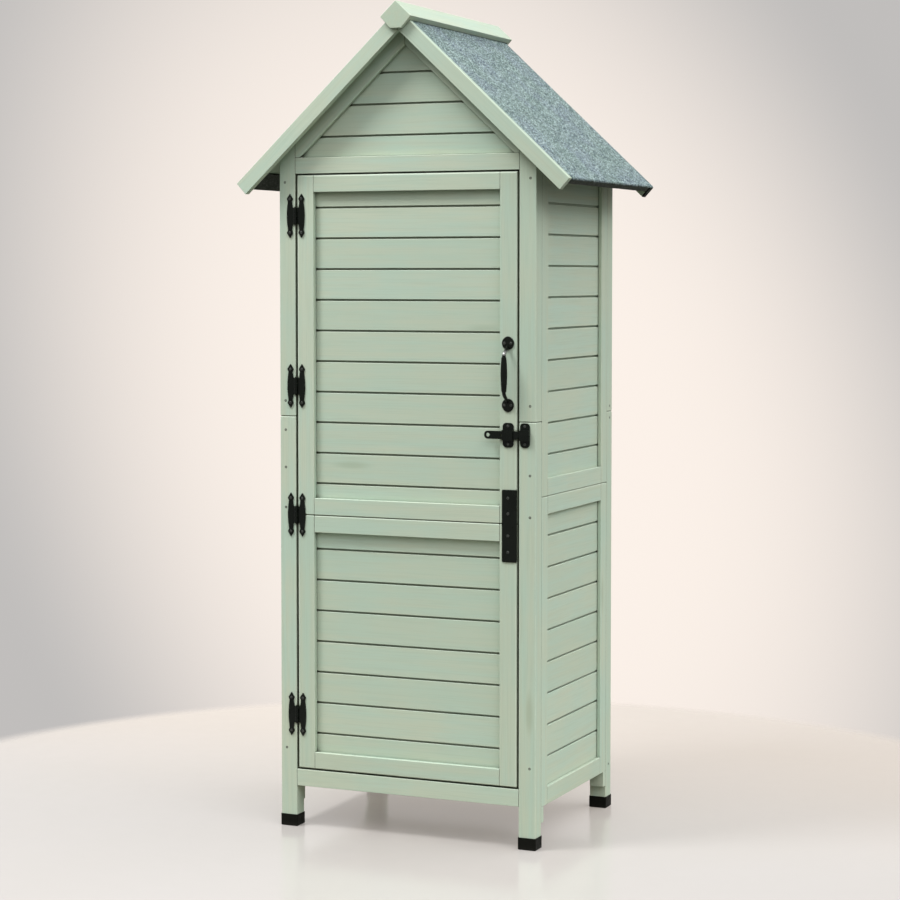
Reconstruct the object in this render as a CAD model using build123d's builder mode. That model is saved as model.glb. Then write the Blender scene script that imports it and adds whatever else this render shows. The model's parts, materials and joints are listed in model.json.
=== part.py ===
from build123d import *
import os
from math import atan2, cos, radians, sin, tan

os.makedirs("parts", exist_ok=True)

# A narrow wooden tool shed: posts and framed board panels under a steep gable roof.
# Millimetres. X runs left to right, Y front to back, Z up from the floor. The origin is on
# the floor under the middle of the body.

# Body
BODY_W = 602.0  # across the outer faces of the posts
BODY_D = 470.0  # front to back over the posts
WALL_H = 1474.0  # floor to the roof boards at the outer faces of the side walls
POST_W = 38.0
POST_D = 34.0
POST_SEAM_Z = 906.0  # where a lower and an upper post meet
JOINT_GAP = 0.2  # open line where two pieces of wood meet

# Foot caps
CAP_H = 26.0
CAP_WALL = 1.5
CAP_FLOOR = 3.0
CAP_FIT = 0.1
CAP_CHAMFER = 1.4

# Blocks that carry the side panels at the legs
BLOCK_W = 33.0
BLOCK_T = 15.0
BLOCK_H = 34.0

# Framed panels of the side and back walls
PANEL_T = 22.0
PANEL_STILE_W = 36.0
PANEL_RAIL_H = 38.0
PANEL_RECESS = 9.0  # from the frame's face back to the boards
PANEL_LOW_Z = 86.0
PANEL_SEAM_Z = 746.0

# Front rails
RAIL_T = 22.0
SILL_Z = 91.0
SILL_H = 37.0
TOP_RAIL_H = 35.0
TOP_RAIL_DROP = 5.0  # from the top of the walls down to the top of the rail

# Door, two framed panels held together
DOOR_T = 28.0
DOOR_STILE_W = 40.0
DOOR_RAIL_H = 37.0
DOOR_RECESS = 13.0
DOOR_SIDE_GAP = 4.0
DOOR_END_GAP = 3.0
DOOR_SEAM_GAP = 1.0
LOWER_DOOR_H = 559.0

# Lapped boards
BOARD_T = 10.0
BOARD_LAP = 6.0
BOARD_GROOVE = 4.0  # shadow line between two boards
BOARD_SEAT = 8.0  # depth of the groove in the frame that holds the boards
UPPER_PITCH = 66.7
LOWER_PITCH = 67.8
UPPER_DOOR_FIRST = 34.0  # exposed height of the lowest board
LOWER_DOOR_FIRST = 43.0
UPPER_SIDE_FIRST = 51.0
LOWER_SIDE_FIRST = 63.0
GABLE_FIRST = 46.0

# Raking trims on the gables
TRIM_W = 37.0
TRIM_T = 10.0

# Roof
ROOF_SLOPE = 43.0  # degrees
ROOF_T = 12.0
FELT_T = 3.0
FELT_TURN = 52.0  # turned under the eave
FELT_REAR_HEM = 18.0  # depth of the fold over the rear edge
FELT_FOLD = 36.0  # length of the corner fold on the rear edge
EAVE_OVERHANG = 87.0
GABLE_OVERHANG = 36.0
BARGE_W = 32.0
BARGE_T = 16.0
RIDGE_T = 12.4
RIDGE_WING = 49.0  # slope width of each side of the ridge cap
RIDGE_END_DEPTH = 34.0
RIDGE_OVERHANG = 12.0

# Inside
FLOOR_Z = 124.0  # top of the floor boards
SHELF_LOW_Z = 500.0
SHELF_HIGH_Z = 900.0
SHELF_T = 12.0
SHELF_BOARDS = 4
SHELF_BOARD_GAP = 3.0
CLEAT_W = 16.0
CLEAT_H = 22.0

# Hinges
LEAF_H = 96.0
LEAF_HALF_W = 7.4
LEAF_NECK = 4.6  # half width behind the spear tip
LEAF_T = 2.5
SPEAR_H = 17.0  # tip to neck
SPEAR_SHOULDER = 11.0  # tip to the widest place
LEAF_OFFSET = 14.0  # hinge axis to the middle of a leaf
KNUCKLE_R = 4.0
KNUCKLE_H = 36.0
KNUCKLE_GAP = 0.3
PIN_R = 2.0
PIN_FIT = 0.05
PIN_PROUD = 1.5  # past the knuckles at each end
TOP_HINGE_DROP = 88.0
MIDDLE_HINGE_RISE = 282.0  # above the door's seam
LOW_HINGE_RISE = 119.0

# Pull
PULL_SPAN = 130.0  # between the rosettes
PULL_RISE = 316.0  # middle of the pull above the door's seam
PULL_INSET = 21.0  # from the door's free edge
PULL_STANDOFF = 24.0  # from the door's face to the middle of the grip
PULL_NECK_R = 2.8
PULL_NECK_IN = 6.0  # from a rosette's middle to where the neck leaves it
PULL_NECK_RUN = 17.0  # length along the door in which a neck leans out to the grip
PULL_NECK_BEND = 4.0  # cut off the corner where a neck meets the grip
PULL_GRIP_HALF = 37.5
PULL_GRIP_R = 6.6
PULL_GRIP_END_R = 4.2
PULL_GRIP_STEPS = [1, 0.7, 0.35, 0, -0.35, -0.7, -1]  # shares of the half where its girth is set
ROSETTE_R = 13.5
ROSETTE_TIP = 14.5
ROSETTE_TURN = 37.0  # degrees of plain round before the tip
ROSETTE_T = 3.5

# Slide bolt
BOLT_RISE = 188.0  # above the door's seam
BOLT_L = 79.0
BOLT_H = 17.0
BOLT_T = 3.0
BOLT_TIP_REACH = 5.5  # tip of the drawn bolt past the door's free edge
BOLT_RING_HOLE_R = 4.0
BOLT_HOLE_R = 3.0
BOLT_HOLE_RUN = 30.0  # from the ring's hole to the other
BOLT_FIT = 0.6
GUIDE_W = 24.5
GUIDE_H = 51.5
GUIDE_T = 2.0
GUIDE_ROUND = 8.0
GUIDE_INSET = 8.0  # from the door's free edge
KEEPER_W = 21.5
KEEPER_INSET = 3.0  # from the post's inner edge

# Plate across the door's seam
PLATE_W = 33.5
PLATE_H = 153.0
PLATE_T = 2.0
PLATE_ROUND = 2.5
PLATE_INSET = 0.5  # from the door's free edge
PLATE_DROP = 4.0  # middle of the plate below the seam

# Places worked out from the sizes above
front_y = -BODY_D / 2
half_opening = BODY_W / 2 - POST_W  # inner faces of the posts
half_bay = BODY_D / 2 - POST_D
rail_top = WALL_H - TOP_RAIL_DROP
rail_low = rail_top - TOP_RAIL_H
door_half = half_opening - DOOR_SIDE_GAP
door_low = SILL_Z + SILL_H + DOOR_END_GAP
door_high = rail_low - DOOR_END_GAP
door_seam = door_low + LOWER_DOOR_H + DOOR_SEAM_GAP / 2
hinge_x = -half_opening + DOOR_SIDE_GAP / 2
hinge_y = front_y - KNUCKLE_R - KNUCKLE_GAP
hinge_heights = [
    door_low + LOW_HINGE_RISE,
    door_seam,
    door_seam + MIDDLE_HINGE_RISE,
    door_high - TOP_HINGE_DROP,
]
slope = radians(ROOF_SLOPE)
roof_depth = FELT_T + ROOF_T
ridge_z = WALL_H + BODY_W / 2 * tan(slope) + roof_depth / cos(slope)
eave_s = (BODY_W / 2 + EAVE_OVERHANG) / cos(slope)
barge_y = BODY_D / 2 + GABLE_OVERHANG
ridge_end_y = barge_y + RIDGE_OVERHANG

# One section plane for each wall: its x runs inward, its y up, and it is extruded along the wall
front_wall = Plane((0, front_y, 0), x_dir=(0, 1, 0), z_dir=(1, 0, 0))
right_wall = Plane((BODY_W / 2, 0, 0), x_dir=(-1, 0, 0), z_dir=(0, 1, 0))
back_wall = Plane((0, -front_y, 0), x_dir=(0, -1, 0), z_dir=(-1, 0, 0))
left_wall = Plane((-BODY_W / 2, 0, 0), x_dir=(1, 0, 0), z_dir=(0, -1, 0))


def plan_of(wall, z):
    """The level plane at z whose x runs along a wall and whose y runs inward."""
    return Plane(wall.origin + Vector(0, 0, z), x_dir=wall.z_dir, z_dir=(0, 0, 1))


def upright(y):
    """The plane across the shed at y: its x is X and its y is Z."""
    return Plane.XZ.offset(-y)


def facing_front(x, z):
    """A plane on the front face at x and z, looking out of the front."""
    return Plane((x, front_y, z), x_dir=(1, 0, 0), z_dir=(0, -1, 0))


def rectangle_points(x_low, x_high, y_low, y_high):
    return [(x_low, y_low), (x_high, y_low), (x_high, y_high), (x_low, y_high)]


def slope_point(side, s, depth):
    """X and Z at a distance s down the slope and a depth under the felt, right (1) or left (-1)."""
    x = s * cos(slope) - depth * sin(slope)
    return (side * x, ridge_z - s * sin(slope) - depth * cos(slope))


def ridge_point(depth):
    """X and Z at a depth under the felt, on the middle plane."""
    return (0, ridge_z - depth / cos(slope))


def slope_band(side, s_end, depth_low, depth_high):
    """Outline of a layer of the roof from the middle plane down to s_end."""
    return [
        ridge_point(depth_low),
        slope_point(side, s_end, depth_low),
        slope_point(side, s_end, depth_high),
        ridge_point(depth_high),
    ]


def under_roof(x):
    """Height of the roof boards' underside at x."""
    return WALL_H + (BODY_W / 2 - abs(x)) * tan(slope)


# The space above the underside of the roof boards, which trims posts and gables
roof_reach = BODY_W / 2 + EAVE_OVERHANG
with BuildSketch(upright(-barge_y)) as above_roof:
    Polygon(
        (-roof_reach, under_roof(roof_reach)),
        (0, under_roof(0)),
        (roof_reach, under_roof(roof_reach)),
        (roof_reach, ridge_z * 2),
        (-roof_reach, ridge_z * 2),
    )


def board_outlines(low, high, first_edge, pitch, face):
    """Section outlines of lapped boards between two heights, with their faces at a depth."""
    edges = [low]
    edge = first_edge
    while edge < high - 2 * BOARD_LAP:
        edges.append(edge)
        edge += pitch
    edges.append(high)
    middle = face + BOARD_T / 2
    back = face + BOARD_T
    outlines = []
    for lower, upper in zip(edges, edges[1:]):
        points = [(face, lower)]
        if upper < high:
            tongue = upper + BOARD_LAP - JOINT_GAP
            points += [(face, upper - BOARD_GROOVE), (middle, upper - BOARD_GROOVE)]
            points += [(middle, tongue), (back, tongue)]
        else:
            points += [(face, upper), (back, upper)]
        if lower > low:
            rebate = middle - JOINT_GAP
            points += [(back, lower + BOARD_LAP), (rebate, lower + BOARD_LAP), (rebate, lower)]
        else:
            points += [(back, lower)]
        outlines.append(points)
    return outlines


def framed_panel(label, wall, half_w, z_low, z_high, thick, stile_w, rail_h, recess, first, pitch):
    """Two stiles and two rails, grooved to hold lapped boards, and the boards."""
    open_half = half_w - stile_w
    open_low = z_low + rail_h
    open_high = z_high - rail_h
    with BuildPart() as frame:
        with BuildSketch(plan_of(wall, z_low)):
            Polygon(*rectangle_points(-half_w, -open_half, 0, thick))
            Polygon(*rectangle_points(open_half, half_w, 0, thick))
        extrude(amount=z_high - z_low)
        rail_half = open_half - JOINT_GAP
        with BuildSketch(wall.offset(-rail_half)):
            Polygon(*rectangle_points(0, thick, z_low, open_low))
            Polygon(*rectangle_points(0, thick, open_high, z_high))
        extrude(amount=2 * rail_half)
        groove = (recess - JOINT_GAP, recess + BOARD_T + JOINT_GAP)
        with BuildSketch(wall.offset(-open_half - BOARD_SEAT)):
            Polygon(*rectangle_points(*groove, open_low - BOARD_SEAT, open_high + BOARD_SEAT))
        extrude(amount=2 * (open_half + BOARD_SEAT), mode=Mode.SUBTRACT)
    frame.part.label = f"{label}_frame"
    export_step(frame.part, f"parts/{label}_frame.step")

    reach = BOARD_SEAT - JOINT_GAP
    with BuildPart() as boards:
        with BuildSketch(wall.offset(-open_half - reach)):
            for outline in board_outlines(
                open_low - reach, open_high + reach, open_low + first, pitch, recess
            ):
                Polygon(*outline)
        extrude(amount=2 * (open_half + reach))
    boards.part.label = f"{label}_boards"
    export_step(boards.part, f"parts/{label}_boards.step")


# Posts and foot caps at the four corners
for side_x, x_name in ((-1, "left"), (1, "right")):
    for side_y, y_name in ((-1, "front"), (1, "rear")):
        corner = (side_x * (BODY_W - POST_W) / 2, side_y * (BODY_D - POST_D) / 2)

        with BuildPart() as lower_post:
            with BuildSketch(Plane.XY.offset(CAP_FLOOR)):
                with Locations(corner):
                    Rectangle(POST_W, POST_D)
            extrude(amount=POST_SEAM_Z - CAP_FLOOR)
        lower_post.part.label = f"post_{y_name}_{x_name}_lower"
        export_step(lower_post.part, f"parts/post_{y_name}_{x_name}_lower.step")

        with BuildPart() as upper_post:
            with BuildSketch(Plane.XY.offset(POST_SEAM_Z + JOINT_GAP)):
                with Locations(corner):
                    Rectangle(POST_W, POST_D)
            extrude(amount=under_roof(half_opening) - POST_SEAM_Z)
            extrude(above_roof.sketch, amount=-2 * barge_y, mode=Mode.SUBTRACT)
        upper_post.part.label = f"post_{y_name}_{x_name}_upper"
        export_step(upper_post.part, f"parts/post_{y_name}_{x_name}_upper.step")

        with BuildPart() as cap:
            with BuildSketch():
                with Locations(corner):
                    Rectangle(POST_W + 2 * CAP_WALL, POST_D + 2 * CAP_WALL)
            extrude(amount=CAP_H)
            chamfer(cap.edges().filter_by(Axis.Z), length=CAP_CHAMFER)
            chamfer(cap.edges().group_by(Axis.Z)[0], length=CAP_CHAMFER)
            with BuildSketch(Plane.XY.offset(CAP_FLOOR)):
                with Locations(corner):
                    Rectangle(POST_W + 2 * CAP_FIT, POST_D + 2 * CAP_FIT)
            extrude(amount=CAP_H, mode=Mode.SUBTRACT)
        cap.part.label = f"foot_cap_{y_name}_{x_name}"
        export_step(cap.part, f"parts/foot_cap_{y_name}_{x_name}.step")

# Blocks fixed to the legs under the side panels
with BuildPart() as blocks:
    with BuildSketch(Plane.XY.offset(PANEL_LOW_Z - BLOCK_H)):
        with GridLocations(BODY_W - BLOCK_W, 2 * half_bay - BLOCK_T, 2, 2):
            Rectangle(BLOCK_W, BLOCK_T)
    extrude(amount=BLOCK_H)
blocks.part.label = "corner_blocks"
export_step(blocks.part, "parts/corner_blocks.step")

# Side walls, an upper panel standing on a lower one
side_half = half_bay - JOINT_GAP
for wall, name in ((left_wall, "left"), (right_wall, "right")):
    framed_panel(
        f"side_panel_{name}_lower", wall, side_half, PANEL_LOW_Z, PANEL_SEAM_Z,
        PANEL_T, PANEL_STILE_W, PANEL_RAIL_H, PANEL_RECESS, LOWER_SIDE_FIRST, LOWER_PITCH,
    )
    framed_panel(
        f"side_panel_{name}_upper", wall, side_half, PANEL_SEAM_Z + JOINT_GAP, WALL_H - JOINT_GAP,
        PANEL_T, PANEL_STILE_W, PANEL_RAIL_H, PANEL_RECESS, UPPER_SIDE_FIRST, UPPER_PITCH,
    )

# Back wall, built as the side walls are, up to the rear top rail
back_half = half_opening - JOINT_GAP
framed_panel(
    "back_panel_lower", back_wall, back_half, PANEL_LOW_Z, PANEL_SEAM_Z,
    PANEL_T, PANEL_STILE_W, PANEL_RAIL_H, PANEL_RECESS, LOWER_SIDE_FIRST, LOWER_PITCH,
)
framed_panel(
    "back_panel_upper", back_wall, back_half, PANEL_SEAM_Z + JOINT_GAP, rail_low - JOINT_GAP,
    PANEL_T, PANEL_STILE_W, PANEL_RAIL_H, PANEL_RECESS, UPPER_SIDE_FIRST, UPPER_PITCH,
)

# Door, hung between the front posts
framed_panel(
    "door_lower", front_wall, door_half, door_low, door_seam - DOOR_SEAM_GAP / 2,
    DOOR_T, DOOR_STILE_W, DOOR_RAIL_H, DOOR_RECESS, LOWER_DOOR_FIRST, LOWER_PITCH,
)
framed_panel(
    "door_upper", front_wall, door_half, door_seam + DOOR_SEAM_GAP / 2, door_high,
    DOOR_T, DOOR_STILE_W, DOOR_RAIL_H, DOOR_RECESS, UPPER_DOOR_FIRST, UPPER_PITCH,
)

# Rails between the posts: under the door, and under each gable
rail_half = half_opening - JOINT_GAP
for wall, name, z_low, z_high in (
    (front_wall, "front_bottom_rail", SILL_Z, SILL_Z + SILL_H),
    (front_wall, "front_top_rail", rail_low, rail_top),
    (back_wall, "rear_top_rail", rail_low, rail_top),
):
    with BuildPart() as rail:
        with BuildSketch(wall.offset(-rail_half)):
            Polygon(*rectangle_points(0, RAIL_T, z_low, z_high))
        extrude(amount=2 * rail_half)
    rail.part.label = name
    export_step(rail.part, f"parts/{name}.step")

# Gables: two raking trims, and lapped boards behind them
gable_low = rail_top + JOINT_GAP
for wall, name in ((front_wall, "front"), (back_wall, "rear")):
    outer_y = front_y if name == "front" else -front_y - TRIM_T
    with BuildPart() as trims:
        with BuildSketch(upright(outer_y)):
            for side in (-1, 1):
                Polygon(*slope_band(side, eave_s, roof_depth, roof_depth + TRIM_W))
            Polygon(
                (-rail_half, gable_low),
                (rail_half, gable_low),
                (rail_half, under_roof(rail_half)),
                (0, under_roof(0)),
                (-rail_half, under_roof(rail_half)),
                mode=Mode.INTERSECT,
            )
            Rectangle(JOINT_GAP, ridge_z * 2, mode=Mode.SUBTRACT)
        extrude(amount=-TRIM_T)
    trims.part.label = f"gable_trims_{name}"
    export_step(trims.part, f"parts/gable_trims_{name}.step")

    with BuildPart() as gable:
        with BuildSketch(wall.offset(-rail_half)):
            for outline in board_outlines(
                gable_low, under_roof(0), rail_top + GABLE_FIRST, UPPER_PITCH, TRIM_T + JOINT_GAP
            ):
                Polygon(*outline)
        extrude(amount=2 * rail_half)
        extrude(above_roof.sketch, amount=-2 * barge_y, mode=Mode.SUBTRACT)
    gable.part.label = f"gable_boards_{name}"
    export_step(gable.part, f"parts/gable_boards_{name}.step")

# Roof slopes: boards, felt turned under the eave and folded over the rear edge, and barge boards
felt_front = -barge_y + BARGE_T + JOINT_GAP
rear_barge_y = barge_y - FELT_T - BARGE_T
board_s = eave_s - FELT_T - JOINT_GAP
turn_depth = roof_depth + JOINT_GAP
for side, name in ((-1, "left"), (1, "right")):
    with BuildPart() as roof_board:
        with BuildSketch(upright(felt_front)):
            Polygon(*slope_band(side, board_s, FELT_T, roof_depth))
        extrude(amount=felt_front - rear_barge_y + JOINT_GAP)
    roof_board.part.label = f"roof_board_{name}"
    export_step(roof_board.part, f"parts/roof_board_{name}.step")

    with BuildPart() as felt:
        with BuildSketch(upright(felt_front)):
            Polygon(*slope_band(side, eave_s, 0, FELT_T))
        extrude(amount=felt_front - barge_y)
        with BuildSketch(upright(felt_front)):
            Polygon(
                slope_point(side, eave_s - FELT_T, 0),
                slope_point(side, eave_s, 0),
                slope_point(side, eave_s, turn_depth + FELT_T),
                slope_point(side, eave_s - FELT_TURN, turn_depth + FELT_T),
                slope_point(side, eave_s - FELT_TURN, turn_depth),
                slope_point(side, eave_s - FELT_T, turn_depth),
            )
        extrude(amount=felt_front - rear_barge_y + JOINT_GAP)
        with BuildSketch(upright(barge_y)):
            Polygon(*slope_band(side, eave_s, 0, FELT_REAR_HEM))
            Polygon(
                slope_point(side, eave_s - FELT_FOLD, 0),
                slope_point(side, eave_s, 0),
                slope_point(side, eave_s, BARGE_W),
                slope_point(side, eave_s - FELT_FOLD, FELT_REAR_HEM),
            )
        extrude(amount=FELT_T)
        with BuildSketch(upright(barge_y)):
            Polygon(
                slope_point(side, eave_s - FELT_T, 0),
                slope_point(side, eave_s, 0),
                slope_point(side, eave_s, BARGE_W),
                slope_point(side, eave_s - FELT_T, BARGE_W),
            )
        extrude(amount=FELT_T + BARGE_T)
    felt.part.label = f"roof_felt_{name}"
    export_step(felt.part, f"parts/roof_felt_{name}.step")

    with BuildPart() as front_barge:
        with BuildSketch(upright(-barge_y)):
            Polygon(*slope_band(side, eave_s, 0, BARGE_W))
        extrude(amount=-BARGE_T)
    front_barge.part.label = f"barge_board_front_{name}"
    export_step(front_barge.part, f"parts/barge_board_front_{name}.step")

    with BuildPart() as rear_barge:
        with BuildSketch(upright(rear_barge_y)):
            Polygon(*slope_band(side, board_s, FELT_T, BARGE_W))
        extrude(amount=-BARGE_T + JOINT_GAP)
    rear_barge.part.label = f"barge_board_rear_{name}"
    export_step(rear_barge.part, f"parts/barge_board_rear_{name}.step")

# Ridge cap: a bar hollowed to sit over the ridge, with full ends in front of the barge boards
ridge_top = (0, ridge_z + RIDGE_T / cos(slope))
wing_edges = [slope_point(side, RIDGE_WING - RIDGE_T * tan(slope), -RIDGE_T) for side in (1, -1)]
wing_feet = [slope_point(side, RIDGE_WING - RIDGE_T * tan(slope), 0) for side in (1, -1)]
end_feet = [
    slope_point(side, RIDGE_WING - RIDGE_T * tan(slope), RIDGE_END_DEPTH - RIDGE_T)
    for side in (1, -1)
]
with BuildPart() as ridge_cap:
    with BuildSketch(upright(-ridge_end_y)):
        Polygon(ridge_top, wing_edges[0], wing_feet[0], ridge_point(0), wing_feet[1], wing_edges[1])
    extrude(amount=-2 * ridge_end_y)
    for end_y in (-ridge_end_y, barge_y):
        with BuildSketch(upright(end_y)):
            Polygon(ridge_top, wing_edges[0], end_feet[0], end_feet[1], wing_edges[1])
        extrude(amount=-RIDGE_OVERHANG)
ridge_cap.part.label = "ridge_cap"
export_step(ridge_cap.part, "parts/ridge_cap.step")

# Floor, shelves and the cleats that carry them, between the side panels
inside_half = BODY_W / 2 - PANEL_T - JOINT_GAP
shelf_tops = {"floor": FLOOR_Z, "shelf_lower": SHELF_LOW_Z, "shelf_upper": SHELF_HIGH_Z}
shelf_depth = 2 * (half_bay - JOINT_GAP)
board_depth = (shelf_depth - (SHELF_BOARDS - 1) * SHELF_BOARD_GAP) / SHELF_BOARDS
for name, top in shelf_tops.items():
    with BuildPart() as shelf:
        with BuildSketch(Plane.XY.offset(top - SHELF_T)):
            with GridLocations(0, board_depth + SHELF_BOARD_GAP, 1, SHELF_BOARDS):
                Rectangle(2 * inside_half, board_depth)
        extrude(amount=SHELF_T)
    shelf.part.label = name
    export_step(shelf.part, f"parts/{name}.step")

with BuildPart() as cleats:
    for top in shelf_tops.values():
        with BuildSketch(Plane.XY.offset(top - SHELF_T - CLEAT_H)):
            with GridLocations(2 * inside_half - CLEAT_W, 0, 2, 1):
                Rectangle(CLEAT_W, shelf_depth)
        extrude(amount=CLEAT_H)
cleats.part.label = "shelf_cleats"
export_step(cleats.part, "parts/shelf_cleats.step")

# Hinges: spear-ended leaves on the post and on the door, joined by a pin through their knuckles
third = KNUCKLE_H / 3
knuckle_h = third - 2 * KNUCKLE_GAP
web_w = LEAF_OFFSET - KNUCKLE_R - 2 * KNUCKLE_GAP
bore_r = PIN_R + PIN_FIT
for side, name, own_thirds in ((-1, "post", (-1, 1)), (1, "door", (0,))):
    with BuildPart() as leaves:
        for z in hinge_heights:
            with BuildSketch(facing_front(hinge_x + side * LEAF_OFFSET, z)):
                with BuildLine():
                    Polyline(
                        (LEAF_NECK, LEAF_H / 2 - SPEAR_H),
                        (LEAF_HALF_W, LEAF_H / 2 - SPEAR_SHOULDER),
                        (0, LEAF_H / 2),
                        (-LEAF_HALF_W, LEAF_H / 2 - SPEAR_SHOULDER),
                        (-LEAF_NECK, LEAF_H / 2 - SPEAR_H),
                    )
                    ThreePointArc(
                        (-LEAF_NECK, LEAF_H / 2 - SPEAR_H),
                        (-LEAF_HALF_W, 0),
                        (-LEAF_NECK, SPEAR_H - LEAF_H / 2),
                    )
                    Polyline(
                        (-LEAF_NECK, SPEAR_H - LEAF_H / 2),
                        (-LEAF_HALF_W, SPEAR_SHOULDER - LEAF_H / 2),
                        (0, -LEAF_H / 2),
                        (LEAF_HALF_W, SPEAR_SHOULDER - LEAF_H / 2),
                        (LEAF_NECK, SPEAR_H - LEAF_H / 2),
                    )
                    ThreePointArc(
                        (LEAF_NECK, SPEAR_H - LEAF_H / 2),
                        (LEAF_HALF_W, 0),
                        (LEAF_NECK, LEAF_H / 2 - SPEAR_H),
                    )
                make_face()
            with BuildSketch(facing_front(hinge_x, z)):
                with Locations((side * (LEAF_OFFSET - web_w / 2), 0)):
                    Rectangle(web_w, KNUCKLE_H)
                for place in own_thirds:
                    with Locations((side * LEAF_OFFSET / 2, place * third)):
                        Rectangle(LEAF_OFFSET, knuckle_h)
            extrude(amount=LEAF_T)
            for place in own_thirds:
                with Locations((hinge_x, hinge_y, z + place * third)):
                    Cylinder(KNUCKLE_R, knuckle_h)
            with Locations((hinge_x, hinge_y, z)):
                Cylinder(bore_r, KNUCKLE_H, mode=Mode.SUBTRACT)
    leaves.part.label = f"hinge_leaves_{name}"
    export_step(leaves.part, f"parts/hinge_leaves_{name}.step")

with BuildPart() as pins:
    for z in hinge_heights:
        with Locations((hinge_x, hinge_y, z)):
            Cylinder(PIN_R, KNUCKLE_H + 2 * PIN_PROUD)
pins.part.label = "hinge_pins"
export_step(pins.part, "parts/hinge_pins.step")

# Pull: two necks that lean out from their rosettes to a turned grip, thickest in its middle
pull_x = door_half - PULL_INSET
pull_z = door_seam + PULL_RISE
neck_start = PULL_SPAN / 2 - PULL_NECK_IN
neck_end = neck_start - PULL_NECK_RUN
grip_y = front_y - PULL_STANDOFF
shoulder_x = ROSETTE_R * cos(radians(ROSETTE_TURN))
shoulder_z = ROSETTE_R * sin(radians(ROSETTE_TURN))
neck_angle = atan2(PULL_STANDOFF - ROSETTE_T / 2, PULL_NECK_RUN)
bend_y = grip_y + PULL_NECK_BEND * sin(neck_angle)
bend_rise = neck_end + PULL_NECK_BEND * cos(neck_angle)
pull_side = Plane.YZ.offset(pull_x)
with BuildPart() as pull:
    for end in (-1, 1):
        with BuildLine(pull_side) as neck:
            Polyline(
                (front_y - ROSETTE_T / 2, pull_z + end * neck_start),
                (bend_y, pull_z + end * bend_rise),
                (grip_y, pull_z + end * (neck_end - PULL_NECK_BEND)),
                (grip_y, pull_z + end * neck_end / 2),
            )
        with BuildSketch(Plane(neck.line @ 0, z_dir=neck.line % 0)):
            Circle(PULL_NECK_R)
        sweep(path=neck.line, transition=Transition.RIGHT)
    with BuildSketch(pull_side):
        girth = [
            PULL_GRIP_R - (PULL_GRIP_R - PULL_GRIP_END_R) * step**2 for step in PULL_GRIP_STEPS
        ]
        Polygon(
            (grip_y, pull_z - PULL_GRIP_HALF),
            (grip_y, pull_z + PULL_GRIP_HALF),
            *((grip_y - r, pull_z + step * PULL_GRIP_HALF) for r, step in zip(girth, PULL_GRIP_STEPS)),
        )
    revolve(axis=Axis((pull_x, grip_y, pull_z), (0, 0, 1)))
    for end in (-1, 1):
        with BuildSketch(facing_front(pull_x, pull_z + end * PULL_SPAN / 2)):
            with BuildLine():
                for side in (-1, 1):
                    ThreePointArc(
                        (0, end * ROSETTE_TIP),
                        (side * shoulder_x, end * shoulder_z),
                        (side * ROSETTE_R, 0),
                    )
                ThreePointArc((ROSETTE_R, 0), (0, -end * ROSETTE_R), (-ROSETTE_R, 0))
            make_face()
        extrude(amount=ROSETTE_T)
pull.part.label = "door_pull"
export_step(pull.part, "parts/door_pull.step")

# Slide bolt: a guide on the door and a keeper on the post, each a plate with a bridge over the bar
bolt_z = door_seam + BOLT_RISE
slot_h = BOLT_H + 2 * BOLT_FIT
slot_t = BOLT_T + 2 * BOLT_FIT
for name, width, middle_x in (
    ("bolt_guide", GUIDE_W, door_half - GUIDE_INSET - GUIDE_W / 2),
    ("bolt_keeper", KEEPER_W, half_opening + KEEPER_INSET + KEEPER_W / 2),
):
    with BuildPart() as strap:
        with BuildSketch(facing_front(middle_x, bolt_z)):
            RectangleRounded(width, GUIDE_H, GUIDE_ROUND)
        extrude(amount=GUIDE_T)
        with BuildSketch(facing_front(middle_x, bolt_z)):
            Rectangle(width, slot_h + 2 * GUIDE_T)
        extrude(amount=2 * GUIDE_T + slot_t)
        with BuildSketch(facing_front(middle_x, bolt_z).offset(GUIDE_T)):
            Rectangle(width, slot_h)
        extrude(amount=slot_t, mode=Mode.SUBTRACT)
    strap.part.label = name
    export_step(strap.part, f"parts/{name}.step")

# The bar, drawn back clear of the keeper, with a ring at one end and a hole further along
bolt_tip_x = door_half + BOLT_TIP_REACH
bolt_half = BOLT_L / 2
with BuildPart() as bolt:
    with BuildSketch(facing_front(bolt_tip_x - bolt_half, bolt_z).offset(GUIDE_T + BOLT_FIT)):
        SlotOverall(BOLT_L, BOLT_H)
        with Locations((BOLT_H / 2 - bolt_half, 0)):
            Circle(BOLT_RING_HOLE_R, mode=Mode.SUBTRACT)
        with Locations((BOLT_H / 2 - bolt_half + BOLT_HOLE_RUN, 0)):
            Circle(BOLT_HOLE_R, mode=Mode.SUBTRACT)
    extrude(amount=BOLT_T)
bolt.part.label = "bolt_bar"
export_step(bolt.part, "parts/bolt_bar.step")

# Plate that holds the two door panels together at the free edge
with BuildPart() as plate:
    with BuildSketch(facing_front(door_half - PLATE_INSET - PLATE_W / 2, door_seam - PLATE_DROP)):
        RectangleRounded(PLATE_W, PLATE_H, PLATE_ROUND)
    extrude(amount=PLATE_T)
plate.part.label = "door_plate"
export_step(plate.part, "parts/door_plate.step")
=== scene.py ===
# %% [markdown]
# # A small painted tool shed
#
# The shed is a flat-pack one: sticks and boards of planed softwood, painted sage green in the factory,
# under a steep roof of mineral felt, with black iron fittings. The solids are already made, and the model
# arrives as a fixed frame: nothing in it is moved here. This lesson dresses that frame. Each timber is
# copied so that its edges can be eased and its grain can run the right way, the felt and the pull are
# formed afresh, the screws are added, and every surface gets a material worked out from numbers alone.

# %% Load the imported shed
import json
import math
import random

import bmesh
import bpy
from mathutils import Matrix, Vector, noise


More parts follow.
